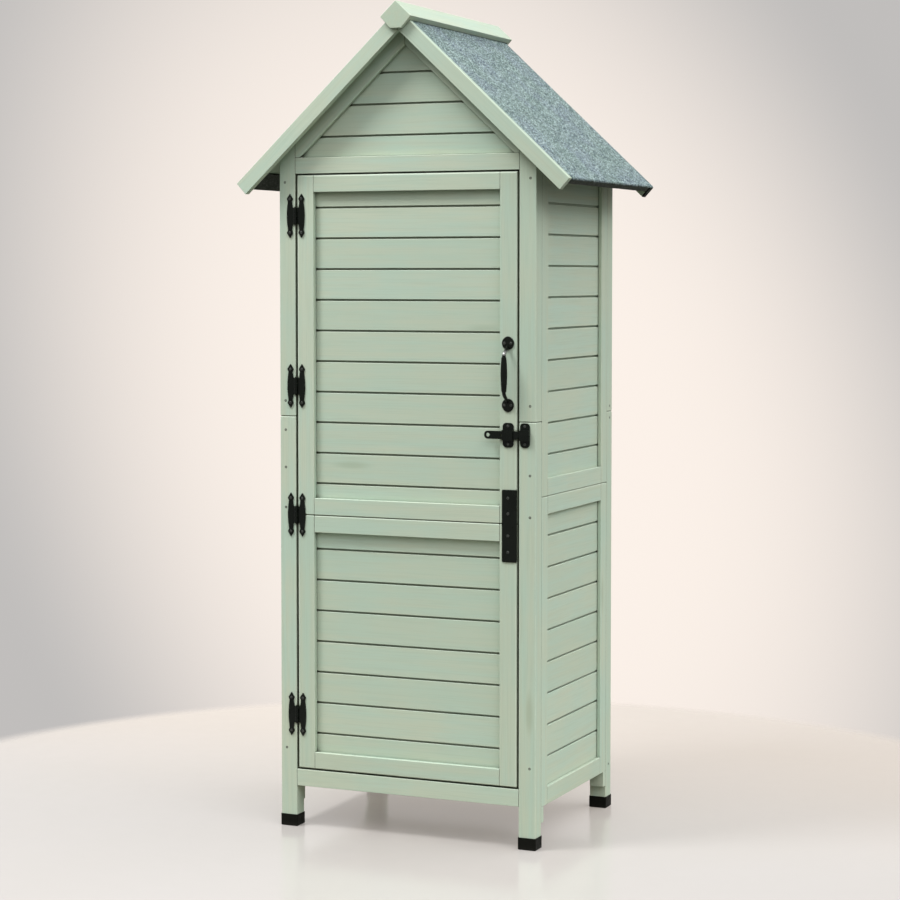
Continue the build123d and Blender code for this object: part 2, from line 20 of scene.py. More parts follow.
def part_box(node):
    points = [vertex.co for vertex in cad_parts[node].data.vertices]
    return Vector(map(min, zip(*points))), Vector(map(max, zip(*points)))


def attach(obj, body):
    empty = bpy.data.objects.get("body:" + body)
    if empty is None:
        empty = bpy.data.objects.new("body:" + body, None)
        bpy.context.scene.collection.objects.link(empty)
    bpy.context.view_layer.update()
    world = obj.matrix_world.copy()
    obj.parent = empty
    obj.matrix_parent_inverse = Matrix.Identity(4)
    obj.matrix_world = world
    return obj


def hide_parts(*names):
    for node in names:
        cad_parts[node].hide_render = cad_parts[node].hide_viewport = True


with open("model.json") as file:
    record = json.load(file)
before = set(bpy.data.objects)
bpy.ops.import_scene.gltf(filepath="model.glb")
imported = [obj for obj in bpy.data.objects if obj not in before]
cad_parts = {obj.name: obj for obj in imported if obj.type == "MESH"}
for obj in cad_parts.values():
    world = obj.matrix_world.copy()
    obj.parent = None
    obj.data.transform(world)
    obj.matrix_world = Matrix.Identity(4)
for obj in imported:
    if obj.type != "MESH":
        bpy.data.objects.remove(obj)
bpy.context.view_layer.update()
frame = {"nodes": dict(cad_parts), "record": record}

nodes = frame["nodes"]
bodies = frame["record"]["behaviour"]["bodies"]
body_of = {node: body for body, held in bodies.items() for node in held}
slot_of = {entry["node"]: entry["material_slot"] for entry in frame["record"]["subparts"]}
print(len(nodes), "solids in", sorted(set(body_of.values())))

# %% [markdown]
# ## Timber
#
# A planed stick never has a razor edge. The mill takes about a millimetre off each arris, and that small
# round is what shows where two boards meet: a fine dark line with a bright thread beside it. The frame's
# solids have sharp edges, so each timber is copied into a new mesh, its split corners are welded, and its
# edges are beveled. Doing it in mesh code instead of with a modifier leaves a record of which faces are
# arrises: the paint can be thinner there, a painted highlight can sit on them, and painted shade can gather
# in the joints between them.

# %% Copy a solid and round its edges
WELD = 2e-5
FLAT = math.radians(0.5)


def welded(node):
    """A copy of a solid's faces with whole flat sides in place of triangles."""
    bm = bmesh.new()
    bm.from_mesh(nodes[node].data)
    bmesh.ops.remove_doubles(bm, verts=bm.verts[:], dist=WELD)
    bmesh.ops.dissolve_limit(bm, angle_limit=FLAT, verts=bm.verts[:], edges=bm.edges[:])
    return bm


def sharp_edges(bm, angle):
    """The edges whose two faces turn by more than an angle, in radians."""
    return [edge for edge in bm.edges if edge.calc_face_angle(0) > angle]


def ease(bm, edges, width, segments=2):
    """Rounds the edges and returns the new narrow faces."""
    return bmesh.ops.bevel(bm, geom=edges, offset=width, offset_type="OFFSET", segments=segments,
                           profile=0.5, affect="EDGES", clamp_overlap=True, material=-1)["faces"]


wooden = [node for node in sorted(nodes) if slot_of[node] in ("painted_wood", "bare_wood")]
print(len(wooden), "solids of timber")

# %% [markdown]
# A node can hold several boards, and each is an island of joined faces whose longest edge runs with the
# grain. Places measured along that edge, with a random offset per board, let one grain pattern serve every
# stick without two of them looking alike. Each board also draws a tone of its own, and its cut ends are
# marked, because end grain drinks more paint.

# %% Measure the grain of each board
SEED = 11
GRAIN_SPREAD = (40, 9, 9)
NEARLY_UPRIGHT = 0.9
END_FACING = 0.95
rng = random.Random(SEED)


def islands(bm):
    """The boards of a node: lists of vertices that hang together."""
    waiting = dict.fromkeys(bm.verts)
    while waiting:
        board = [next(iter(waiting))]
        del waiting[board[0]]
        for vert in board:
            for edge in vert.link_edges:
                other = edge.other_vert(vert)
                if other in waiting:
                    del waiting[other]
                    board.append(other)
        yield board


def guide_for(direction):
    """An axis well away from a direction: Z, or X where the direction is upright."""
    return Vector((0, 0, 1)) if abs(direction.z) < NEARLY_UPRIGHT else Vector((1, 0, 0))


def mark_grain(bm):
    """Stores on each board its own axes, a tone and which faces are cut ends."""
    place = bm.verts.layers.float_vector.new("plank")
    tone = bm.verts.layers.float.new("tone")
    end = bm.faces.layers.float.new("end_grain")
    count = 0
    for board in islands(bm):
        count += 1
        edges = {edge for vert in board for edge in vert.link_edges}
        longest = max(edges, key=lambda edge: (round(edge.calc_length(), 5), -edge.verts[0].index))
        along = (longest.verts[1].co - longest.verts[0].co).normalized()
        guide = guide_for(along)
        across = (guide - along * guide.dot(along)).normalized()
        through = along.cross(across)
        middle = sum((vert.co for vert in board), Vector()) / len(board)
        offset = Vector([rng.uniform(0, reach) for reach in GRAIN_SPREAD])
        shade = rng.uniform(0, 1)
        for vert in board:
            step = vert.co - middle
            vert[place] = offset + Vector((step.dot(along), step.dot(across), step.dot(through)))
            vert[tone] = shade
            for face in vert.link_faces:
                face[end] = float(abs(face.normal.dot(along)) > END_FACING)
    return count


print("grain offsets up to", GRAIN_SPREAD, "m")

# %% [markdown]
# Some edges are eased more than the rest. Where a lower post, panel or door half meets the upper one, the
# cut ends lose two millimetres, as on most flat-pack sheds, and a clear line runs around the shed. The
# door's outer edges are rounded by four, so that they don't catch, and the gap beside them reads as a bold
# dark line. Both kinds are found by where they lie: level with a seam, or on the rim of the door's front.

# %% Find the edges that are eased more
AT = 0.0012
SEAM_PIECES = (("post_", "post_front_left_lower"), ("panel_", "side_panel_left_lower_frame"),
               ("door_", "door_lower_frame"))
SEAMS = {kind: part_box(lower)[1].z for kind, lower in SEAM_PIECES}
DOOR_FRAMES = ("door_lower_frame", "door_upper_frame")
door_low, door_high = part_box("door_lower_frame")[0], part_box("door_upper_frame")[1]
X, Y, Z = range(3)
DOOR_RIM = ((X, door_low.x), (X, door_high.x), (Z, door_low.z), (Z, door_high.z))


def lies_at(edge, axis, place):
    """Whether both ends of an edge have the same place on an axis."""
    return all(abs(vert.co[axis] - place) < AT for vert in edge.verts)


def ends_at_seam(node, edge):
    """Whether an edge belongs to the cut where a lower piece meets an upper one."""
    return any(kind in node and lies_at(edge, Z, seam) for kind, seam in SEAMS.items())


def on_door_rim(node, edge):
    """Whether an edge runs around the front of the door, beside the gap."""
    return (node in DOOR_FRAMES and lies_at(edge, Y, door_low.y)
            and any(lies_at(edge, axis, place) for axis, place in DOOR_RIM))


print("seams at", {kind: round(seam, 4) for kind, seam in SEAMS.items()})

# %% [markdown]
# Now every timber is dressed. The wider edges come first and the common arrises after them. Faces that were
# planed off are marked, and every face stores how much painted shade and grime its grooves take: the side
# walls take less than the front, as more light reaches into their grooves. The finished piece rides on the
# body of its solid and takes its place.

# %% Dress the timber
ARRIS = 0.0011
WIDER = ((on_door_rim, 0.0040, 3), (ends_at_seam, 0.0021, 2))
SLIGHT_ANGLE = 0.3
CLEAR_ANGLE = 0.6
# the side walls' grooves get less painted shade, as more light reaches into them
SIDE_GROOVE_SHADE = 0.40
FLAT_WEIGHT = 80


def mark(faces, layer, value=1.0):
    for face in faces:
        face[layer] = value


def keep_flat(piece):
    """Lets the large flat sides set the shading, so that only the rounds look round."""
    piece.modifiers.new("Flat sides stay flat", "WEIGHTED_NORMAL").weight = FLAT_WEIGHT


def finished(name, bm, node=None, body=None, slot=None):
    """Turns the faces into a piece that rides on its body and stands for its solid."""
    mesh = bpy.data.meshes.new(name)
    bm.to_mesh(mesh)
    bm.free()
    mesh.shade_smooth()
    piece = bpy.data.objects.new(name, mesh)
    bpy.context.collection.objects.link(piece)
    keep_flat(piece)
    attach(piece, body or body_of[node])
    if node:
        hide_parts(node)
    slot or slot_of[node]
    return piece


timber = {}
boards = 0
for node in wooden:
    bm = welded(node)
    planed = bm.faces.layers.float.new("arris")
    groove_shade_and_grime = bm.faces.layers.float.new("groove_shade_and_grime")
    limit = SLIGHT_ANGLE
    for chosen, width, segments in WIDER:
        edges = [edge for edge in sharp_edges(bm, CLEAR_ANGLE) if chosen(node, edge)]
        if edges:
            mark(ease(bm, edges, width, segments), planed)
            limit = CLEAR_ANGLE
    mark(ease(bm, sharp_edges(bm, limit), ARRIS), planed)
    # how much painted shade and grime each piece's grooves take, less on the side walls
    mark(bm.faces, groove_shade_and_grime, SIDE_GROOVE_SHADE if node.startswith("side_panel") else 1.0)
    bm.verts.index_update()
    boards += mark_grain(bm)
    timber[node] = finished(f"{node}_timber", bm, node)
print(boards, "boards in", len(timber), "pieces of timber")

# %% [markdown]
# ## Helpers for the shaders
#
# A shader is a small net of nodes. A few helpers keep the net readable: one adds a node and fills or links
# its inputs, and the others are short names for sums, mixes, spans of values and noise. Two open a material
# or a node group. Groups are how an effect is written once and used by several materials: they only hand
# out values, and the material decides which socket of its own shader each value feeds.

# %% Small helpers for shader nodes
FLOAT, VECTOR = "NodeSocketFloat", "NodeSocketVector"


def add(tree, kind, inputs=None, **settings):
    """A new node with its settings, its inputs set to values or linked to sockets."""
    made = tree.nodes.new(kind)
    for key, value in settings.items():
        setattr(made, key, value)
    for key, value in (inputs or {}).items():
        if isinstance(value, bpy.types.NodeSocket):
            tree.links.new(value, made.inputs[key])
        else:
            made.inputs[key].default_value = value
    return made


def calc(tree, operation, first, second=0.0):
    return add(tree, "ShaderNodeMath", {0: first, 1: second}, operation=operation).outputs[0]


def times(tree, first, second):
    return calc(tree, "MULTIPLY", first, second)


def plus(tree, first, second):
    return calc(tree, "ADD", first, second)


def mix(tree, factor, first, second):
    """A colour between two others."""
    return add(tree, "ShaderNodeMix", {0: factor, 6: first, 7: second}, data_type="RGBA").outputs[2]


def ramp(tree, value, low, high, to_low=0.0, to_high=1.0):
    """Spreads a span of values over another one, with soft ends."""
    made = add(tree, "ShaderNodeMapRange", {0: value, 1: low, 2: high, 3: to_low, 4: to_high},
               interpolation_type="SMOOTHSTEP")
    return made.outputs[0]


def speckle(tree, place, scale, detail, **inputs):
    """A noise texture's value."""
    inputs = {"Vector": place, "Scale": scale, "Detail": detail, **inputs}
    return add(tree, "ShaderNodeTexNoise", inputs).outputs["Fac"]


def attribute(tree, name):
    return add(tree, "ShaderNodeAttribute", attribute_name=name).outputs


def own_place(tree):
    """Places that move along with the piece."""
    return add(tree, "ShaderNodeTexCoord").outputs["Object"]


def axes_of(tree, vector):
    return add(tree, "ShaderNodeSeparateXYZ", {0: vector}).outputs


def channels_of(tree, colour):
    return add(tree, "ShaderNodeSeparateColor", {0: colour}).outputs


def new_group(title, inputs, outputs):
    """A node group with named sockets: its tree, its input sockets and its output sockets."""
    tree = bpy.data.node_groups.new(title, "ShaderNodeTree")
    for name, kind, value in inputs:
        socket = tree.interface.new_socket(name, in_out="INPUT", socket_type=kind)
        if value is not None:
            socket.default_value = value
    for name, kind in outputs:
        tree.interface.new_socket(name, in_out="OUTPUT", socket_type=kind)
    return tree, tree.nodes.new("NodeGroupInput").outputs, tree.nodes.new("NodeGroupOutput").inputs


def use(tree, group, **inputs):
    """Puts a group into a material and returns its outputs."""
    return add(tree, "ShaderNodeGroup", inputs, node_tree=group).outputs


def new_material(title):
    made = bpy.data.materials.new(title)
    made.use_nodes = True
    return made, made.node_tree, made.node_tree.nodes["Principled BSDF"].inputs


def roughen(tree, shader, pattern, to_low, to_high, low=0.3, high=0.7):
    """Lets a pattern vary the gloss."""
    tree.links.new(ramp(tree, pattern, low, high, to_low, to_high), shader["Roughness"])


def raise_bumps(tree, shader, height, distance, strength):
    """Lets a pattern stand up from the surface by a small distance."""
    made = add(tree, "ShaderNodeBump", {"Height": height, "Distance": distance, "Strength": strength})
    tree.links.new(made.outputs[0], shader["Normal"])


print("helpers ready")

# %% [markdown]
# ## Grain
#
# Softwood grain is long and thin: a fibre is some hundred times longer than it is wide. Stretching the
# coordinates before they reach a noise texture gives just that, because noise that is squeezed across the
# board and left long along it turns into streaks. Fine fibres stand up under thin paint and give the bump,
# broad bands vary the colour a little, year rings show where the wood is bare, and a few knots sit where a
# cell of a cell pattern happens to draw a high number.

# %% The grain group
FIBRE_STRETCH = (7, 420)
BAND_STRETCH = (2.2, 75)
RING_STRETCH = (1.5, 42)
KNOT_STRETCH = (3.2, 17)
KNOT_LUCK = 0.8
SWAY = 5.0

grain, socket, out = new_group(
    "Plank grain",
    [("Plank", VECTOR, None), ("Waviness", FLOAT, 0.004)],
    [("Fibre", FLOAT), ("Band", FLOAT), ("Knot", FLOAT), ("Rings", FLOAT)],
)
sway = speckle(grain, socket["Plank"], SWAY, 1.0)
swing = times(grain, calc(grain, "SUBTRACT", sway, 0.5), socket["Waviness"])
drift = add(grain, "ShaderNodeCombineXYZ", {"Y": swing, "Z": swing}).outputs[0]
bent = add(grain, "ShaderNodeVectorMath", {0: socket["Plank"], 1: drift}, operation="ADD").outputs[0]


def stretched(along, across):
    return add(grain, "ShaderNodeMapping", {"Vector": bent, "Scale": (along, across, across)}).outputs[0]


fibre = speckle(grain, stretched(*FIBRE_STRETCH), 1.0, 3.0, Roughness=0.6)
band = speckle(grain, stretched(*BAND_STRETCH), 1.0, 2.0)
rings = add(grain, "ShaderNodeTexWave", {"Vector": stretched(*RING_STRETCH), "Scale": 1.0,
                                         "Distortion": 3.0, "Detail": 2.0, "Detail Scale": 0.8},
            wave_type="BANDS", bands_direction="Z")
cells = add(grain, "ShaderNodeTexVoronoi", {"Vector": stretched(*KNOT_STRETCH), "Scale": 1.0}).outputs
lucky = calc(grain, "GREATER_THAN", channels_of(grain, cells["Color"])[0], KNOT_LUCK)
knot = times(grain, lucky, ramp(grain, cells["Distance"], 0.05, 0.20, 1.0, 0.0))
for name, value in (("Fibre", fibre), ("Band", band), ("Knot", knot), ("Rings", rings.outputs["Fac"])):
    grain.links.new(value, out[name])
print("grain group:", [item.name for item in grain.interface.items_tree])

# %% [markdown]
# ## Crevices
#
# Spray paint hardly reaches the bottom of a groove, and what it leaves open collects dust and stays damp.
# Grooves, gaps and inner corners are also where shade falls, and that shade is painted into the colour here
# along with the grime, so they draw the shed's lines. A shader can ask how closed-in a point is: the ambient
# occlusion node sends short rays around it and counts how many get away. The reach of those rays decides
# what counts as a crevice, here about the depth of a groove. A joint between two sticks is a smaller thing,
# a notch between two eased edges, so a second count with half that reach finds it. Edges that look up get
# less of the painted shade: light falls on them, and rain washes them.

# %% The crevice group
RAYS = 6
crevice, socket, out = new_group(
    "Crevice",
    [("Arris", FLOAT, 0.0), ("Groove reach", FLOAT, 0.014), ("Joint reach", FLOAT, 0.0065)],
    [("Groove", FLOAT), ("Joint", FLOAT)],
)


def openness(reach):
    """How much of the view around a point is free within a short reach."""
    return add(crevice, "ShaderNodeAmbientOcclusion", {"Distance": reach}, samples=RAYS).outputs["AO"]


facing = add(crevice, "ShaderNodeNewGeometry").outputs["Normal"]
# edges facing up get less painted shade, because light falls on them
shade_unless_upward = ramp(crevice, axes_of(crevice, facing)["Z"], 0.25, 0.70, 1.0, 0.25)
# joints and grooves mark where shade is painted into the colour, along with grime
notch = times(crevice, ramp(crevice, openness(socket["Joint reach"]), 0.96, 0.62), shade_unless_upward)
crevice.links.new(ramp(crevice, openness(socket["Groove reach"]), 0.62, 0.20), out["Groove"])
crevice.links.new(times(crevice, notch, socket["Arris"]), out["Joint"])
print("crevice group:", [item.name for item in crevice.interface.items_tree])

# %% [markdown]
# ## Thin sage paint
#
# The factory coat is one thin layer of matt stain-paint, so the wood still speaks through it. Bands of late
# wood take a little less colour, knots bleed through a shade darker, cut ends drink more and go darker, and
# the arrises are a little lighter, because the coat draws back from them and a painted highlight sits where
# light catches them. Where the coat is thinner the warm wood shifts it towards beige, and where it pooled
# it is a cooler green. All of these are only a few percent, because a stronger grain would read as bare
# timber. Painted shade and grime in the crevices come last.

# %% The painted wood
PAINT_COOL = (0.455, 0.586, 0.483, 1)
PAINT_WARM = (0.511, 0.576, 0.451, 1)
PAINT_DEEP = (0.398, 0.490, 0.380, 1)
# lighter arrises: thinner paint and a painted highlight
PAINT_THIN_AND_LIT = (0.60, 0.69, 0.57, 1)
KNOT_STAIN = (0.337, 0.412, 0.297, 1)
# painted shade and grime for grooves, gaps and joints
SHADE_AND_GRIME = (0.100, 0.118, 0.076, 1)
FIBRE_HEIGHT = 0.0003
FIBRE_BUMP = 0.4

painted, tree, shader = new_material("Thin sage paint")
wood = use(tree, grain, Plank=attribute(tree, "plank")["Vector"])
tone, arris, ends, groove_shade_and_grime = (attribute(tree, name)["Fac"]
                           for name in ("tone", "arris", "end_grain", "groove_shade_and_grime"))
cloud = speckle(tree, own_place(tree), 7.0, 3.0)
warmth = plus(tree, times(tree, wood["Band"], 0.6), times(tree, cloud, 0.6))
colour = mix(tree, ramp(tree, warmth, 0.42, 0.78), PAINT_COOL, PAINT_WARM)
# where the arrises are painted lighter: thin paint and a painted highlight
thin_and_lit = times(tree, arris, ramp(tree, cloud, 0.30, 0.60, 0.25, 0.70))
hollow = use(tree, crevice, Arris=arris)
for share, other in (
    (ramp(tree, wood["Fibre"], 0.44, 0.70, 0.0, 0.42), PAINT_DEEP),
    (times(tree, tone, 0.32), PAINT_DEEP),
    (times(tree, wood["Knot"], 0.55), KNOT_STAIN),
    (times(tree, ends, 0.35), KNOT_STAIN),
    (thin_and_lit, PAINT_THIN_AND_LIT),
    # painted shade and grime in the joints and grooves
    (times(tree, hollow["Joint"], 0.95), SHADE_AND_GRIME),
    (times(tree, hollow["Groove"], groove_shade_and_grime), SHADE_AND_GRIME),
):
    colour = mix(tree, share, colour, other)
tree.links.new(colour, shader["Base Color"])
roughen(tree, shader, wood["Band"], 0.52, 0.68, low=0.2, high=0.8)
ridges = plus(tree, wood["Fibre"], times(tree, wood["Rings"], 0.5))
raise_bumps(tree, shader, ridges, FIBRE_HEIGHT, FIBRE_BUMP)
shader["Specular IOR Level"].default_value = 0.3


def cover(slot, material):
    """Gives a material to the timber of a slot and returns those nodes."""
    covered = [node for node in timber if slot_of[node] == slot]
    for node in covered:
        timber[node].data.materials.append(material)
    return covered


print("painted:", len(cover("painted_wood", painted)), "pieces")

# %% [markdown]
# ## Bare wood inside
#
# Nobody paints the floor, the shelves and their cleats. They stay planed spruce, pale and warm, with the
# rings showing. The same grain group is read more loudly: late wood is brown, knots are dark, and the
# fibres carry a little dirt.

# %% The bare wood
SPRUCE_PALE = (0.62, 0.44, 0.26, 1)
SPRUCE_WARM = (0.54, 0.36, 0.20, 1)
LATE_WOOD = (0.40, 0.23, 0.11, 1)
FIBRE_DIRT = (0.33, 0.20, 0.10, 1)
BARE_KNOT = (0.14, 0.065, 0.03, 1)

bare, tree, shader = new_material("Planed spruce")
wood = use(tree, grain, Plank=attribute(tree, "plank")["Vector"], Waviness=0.012)
colour = mix(tree, attribute(tree, "tone")["Fac"], SPRUCE_PALE, SPRUCE_WARM)
colour = mix(tree, ramp(tree, wood["Rings"], 0.45, 0.95, 0.0, 0.45), colour, LATE_WOOD)
colour = mix(tree, ramp(tree, wood["Fibre"], 0.45, 0.70, 0.0, 0.35), colour, FIBRE_DIRT)
colour = mix(tree, times(tree, wood["Knot"], 0.75), colour, BARE_KNOT)
tree.links.new(colour, shader["Base Color"])
roughen(tree, shader, wood["Rings"], 0.62, 0.50, low=0.2, high=0.9)
raise_bumps(tree, shader, wood["Fibre"], FIBRE_HEIGHT, FIBRE_BUMP)
print("bare:", cover("bare_wood", bare))

# %% [markdown]
# ## Roofing felt
#
# Mineral felt is a sheet of bitumen with crushed slate rolled into its upper side. It is stiff, so it does
# not fold to a sharp edge: over the eave it goes round in a soft bend, loses chips along that bend, and
# shows black below. The solid has square folds. Here its copy is cut into a fine grid, the folds are
# rounded wider than the free edges, and the sheet is left slightly uneven. Each point also stores how
# deep it lies under the roof's plane, so that the shader knows top from hem.

# %% Find places and folds on the roof
ROOF_SLOPE = math.radians(43)
TOUCH = 5e-4
LONG_EDGE = 0.3
ridge_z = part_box("roof_felt_right")[1].z


def downhill(way):
    """The direction down a slope, right (1) or left (-1)."""
    return Vector((way * math.cos(ROOF_SLOPE), 0, -math.sin(ROOF_SLOPE)))


def roof_place(point):
    """How far down the slope a point lies, and how deep under the roof's plane."""
    drop = ridge_z - point.z
    down = abs(point.x) * math.cos(ROOF_SLOPE) + drop * math.sin(ROOF_SLOPE)
    depth = drop * math.cos(ROOF_SLOPE) - abs(point.x) * math.sin(ROOF_SLOPE)
    return down, depth


def on_fold(edge, eave, rear):
    """Whether the sheet is bent along an edge: over the eave, or over the rear edge."""
    spots = [roof_place(vert.co) for vert in edge.verts]
    low = all(down > eave - TOUCH for down, depth in spots)
    level = abs(edge.verts[0].co.y - edge.verts[1].co.y) > LONG_EDGE
    back = all(vert.co.y > rear - TOUCH for vert in edge.verts)
    top = all(depth < TOUCH for down, depth in spots)
    return (low and level) or (back and top)


print("ridge of the felt at", round(ridge_z, 4))

# %% [markdown]
# A modifier could round all the edges by one width, but the bends and the cut edges of a sheet differ. So
# the two kinds are eased one after the other in mesh code. Only then are the grid lines cut, because a
# bevel runs more cleanly along one long edge than along many short ones. Noise pushes the points in by less
# than a millimetre, and the strip under the ridge cap stays flat.

# %% Form the felt
FOLD_ROUND = 0.0048
FREE_ROUND = 0.0011
GRID = 0.016
HALF_ROWS = 16
UNEVEN = 0.0007
COARSE, FINE = 22, 70
UNDER_CAP = 0.03


def slice_at(bm, place, across):
    """Cuts the faces along a plane."""
    bmesh.ops.bisect_plane(bm, geom=bm.verts[:] + bm.edges[:] + bm.faces[:], dist=1e-6,
                           plane_co=place, plane_no=across)


felt = {}
for side, way in (("left", -1), ("right", 1)):
    bm = welded(f"roof_felt_{side}")
    eave = max(roof_place(vert.co)[0] for vert in bm.verts)
    rear = max(vert.co.y for vert in bm.verts)
    folds = [edge for edge in sharp_edges(bm, SLIGHT_ANGLE) if on_fold(edge, eave, rear)]
    ease(bm, folds, FOLD_ROUND, segments=4)
    ease(bm, sharp_edges(bm, CLEAR_ANGLE), FREE_ROUND)
    for step in range(1, int(eave / GRID)):
        slice_at(bm, Vector((0, 0, ridge_z)) + downhill(way) * step * GRID, downhill(way))
    for step in range(-HALF_ROWS, HALF_ROWS + 1):
        slice_at(bm, (0, step * GRID, 0), (0, 1, 0))
    bm.normal_update()
    hem = bm.verts.layers.float.new("hem")
    for vert in bm.verts:
        vert[hem] = roof_place(vert.co)[1]
        ruffle = noise.noise(vert.co * COARSE) + 0.5 * noise.noise(vert.co * FINE)
        if abs(vert.co.x) > UNDER_CAP:
            vert.co -= vert.normal * UNEVEN * (0.55 + 0.45 * ruffle)
    felt[side] = finished(f"roof_felt_{side}_sheet", bm, f"roof_felt_{side}")
    print(side, "felt:", len(felt[side].data.polygons), "faces, eave", round(eave, 4))

# %% [markdown]
# ## Mineral chips
#
# Seen from a few steps away the chips are a fine speckle of slate blue, grey and green with a few pale
# and a few nearly black ones. A cell pattern gives every chip its own flat colour, and a second, finer one
# fills the gaps.

# %% The chip group
FINER = 2.1
chips, socket, out = new_group(
    "Mineral chips",
    [("Place", VECTOR, None), ("Chip size", FLOAT, 0.0027)],
    [("Shade", FLOAT), ("Hue", FLOAT), ("Height", FLOAT)],
)


def cell_pattern(density):
    return add(chips, "ShaderNodeTexVoronoi", {"Vector": socket["Place"], "Scale": density}).outputs


density = calc(chips, "DIVIDE", 1.0, socket["Chip size"])
large = cell_pattern(density)
small = cell_pattern(times(chips, density, FINER))
pick = channels_of(chips, large["Color"])
fine = channels_of(chips, small["Color"])
chips.links.new(plus(chips, times(chips, pick[0], 0.65), times(chips, fine[0], 0.35)), out["Shade"])
chips.links.new(pick[1], out["Hue"])
chips.links.new(calc(chips, "SUBTRACT", pick[2], large["Distance"]), out["Height"])
print("chip group:", [item.name for item in chips.interface.items_tree])

# %% [markdown]
# The felt is rolled in the factory, so the mix of chips drifts slowly over the sheet, and soft clouds of
# bluer and greener chips show that. Chips thin out along a bend, which is why the fold is dark and ragged.
# The side turned under the eave has none.

# %% The felt material
FELT_GREEN = (0.146, 0.225, 0.205, 1)
FELT_BLUE = (0.155, 0.206, 0.261, 1)
CHIP_PALE = (0.49, 0.615, 0.592, 1)
CHIP_DARK = (0.029, 0.045, 0.050, 1)
CLUMP_DARK = (0.100, 0.141, 0.141, 1)
HEM_BLACK = (0.024, 0.030, 0.022, 1)
HEM_CHIP = (0.15, 0.17, 0.145, 1)
BITUMEN = (0.006, 0.0065, 0.005, 1)
RAGGED = 0.009

mineral, tree, shader = new_material("Mineral felt")
place = own_place(tree)
depth = attribute(tree, "hem")["Fac"]
chip = use(tree, chips, Place=place)
cloud = speckle(tree, place, 11.0, 3.0)
clump = speckle(tree, place, 95.0, 2.0)
blue = ramp(tree, plus(tree, cloud, times(tree, chip["Hue"], 0.25)), 0.50, 0.80)
colour = mix(tree, blue, FELT_GREEN, FELT_BLUE)
colour = mix(tree, ramp(tree, chip["Shade"], 0.50, 0.84), colour, CHIP_PALE)
colour = mix(tree, ramp(tree, chip["Shade"], 0.48, 0.18), colour, CHIP_DARK)
colour = mix(tree, ramp(tree, clump, 0.56, 0.34, 0.0, 0.45), colour, CLUMP_DARK)
ragged = plus(tree, depth, times(tree, calc(tree, "SUBTRACT", clump, 0.5), RAGGED))
bald = mix(tree, ramp(tree, chip["Shade"], 0.55, 0.95, 0.0, 0.35), HEM_BLACK, HEM_CHIP)
colour = mix(tree, ramp(tree, ragged, 0.0004, 0.0058), colour, bald)
colour = mix(tree, ramp(tree, depth, 0.0185, 0.0200), colour, BITUMEN)
tree.links.new(colour, shader["Base Color"])
roughen(tree, shader, chip["Shade"], 0.95, 0.72, low=0.1, high=0.9)
raise_bumps(tree, shader, chip["Height"], 0.0009, 0.5)
shader["Specular IOR Level"].default_value = 0.25
for piece in felt.values():
    piece.data.materials.append(mineral)
print("felt covered:", sorted(felt))

# %% [markdown]
# ## Black iron
#
# The hinges, the bolt, the plate and the pull are cast or pressed iron under a black lacquer. The lacquer is
# not quite even. It pools and dimples like the skin of an orange, which breaks up the reflections, and it
# dulls where hands and weather reach it. On the pull's upper neck bare iron shows, partly where a hand rubs
# the lacquer through and partly as a painted highlight where light from above glints.

# %% The skin group and the iron
LACQUER_THICK = (0.0018, 0.0030, 0.0018, 1)
LACQUER_DULL = (0.0060, 0.0085, 0.0060, 1)
# bare iron on the pull's upper neck: rubbed lacquer and a painted highlight
BARE_IRON_AND_GLINT = (0.46, 0.47, 0.46, 1)
PATCH_SIZE = 0.12

skin, socket, out = new_group(
    "Uneven skin",
    [("Place", VECTOR, None), ("Size", FLOAT, 0.004)],
    [("Dimple", FLOAT), ("Patch", FLOAT)],
)
often = calc(skin, "DIVIDE", 1.0, socket["Size"])
skin.links.new(speckle(skin, socket["Place"], often, 2.0), out["Dimple"])
skin.links.new(speckle(skin, socket["Place"], times(skin, often, PATCH_SIZE), 3.0), out["Patch"])

iron, tree, shader = new_material("Black lacquered iron")
coat = use(tree, skin, Place=own_place(tree), Size=0.005)
# the rub mask also places a painted highlight on the upper neck
wear_and_glint = plus(tree, attribute(tree, "rub_and_glint")["Fac"], times(tree, coat["Patch"], 0.3))
bare_and_glint = ramp(tree, wear_and_glint, 0.55, 1.15)
lacquer = mix(tree, coat["Patch"], LACQUER_THICK, LACQUER_DULL)
tree.links.new(mix(tree, bare_and_glint, lacquer, BARE_IRON_AND_GLINT), shader["Base Color"])
tree.links.new(bare_and_glint, shader["Metallic"])
roughen(tree, shader, coat["Patch"], 0.20, 0.34)
raise_bumps(tree, shader, coat["Dimple"], 0.0005, 0.45)
shader["Specular IOR Level"].default_value = 0.16
print("skin group:", [item.name for item in skin.interface.items_tree])

# %% [markdown]
# The foot caps are moulded plastic with a finer skin, and a little dust sticks to them near the floor. The
# solids of the caps and fittings already have the right outlines, so they stay, and modifiers finish them:
# one welds the corners that the import splits, and one rounds the edges.

# %% The plastic of the feet, and the solids that stay
PLASTIC = (0.0045, 0.0050, 0.0034, 1)
DUST = (0.022, 0.021, 0.018, 1)
DUST_HEIGHT = 0.014
BEVEL_ANGLE = math.radians(35)

plastic, tree, shader = new_material("Moulded black plastic")
spot = own_place(tree)
grit = use(tree, skin, Place=spot, Size=0.0012)
dusty = times(tree, ramp(tree, axes_of(tree, spot)["Z"], DUST_HEIGHT, 0.0, 0.0, 0.5), grit["Patch"])
tree.links.new(mix(tree, dusty, PLASTIC, DUST), shader["Base Color"])
roughen(tree, shader, grit["Patch"], 0.48, 0.64)
raise_bumps(tree, shader, grit["Dimple"], 0.0002, 0.5)
shader["Specular IOR Level"].default_value = 0.09

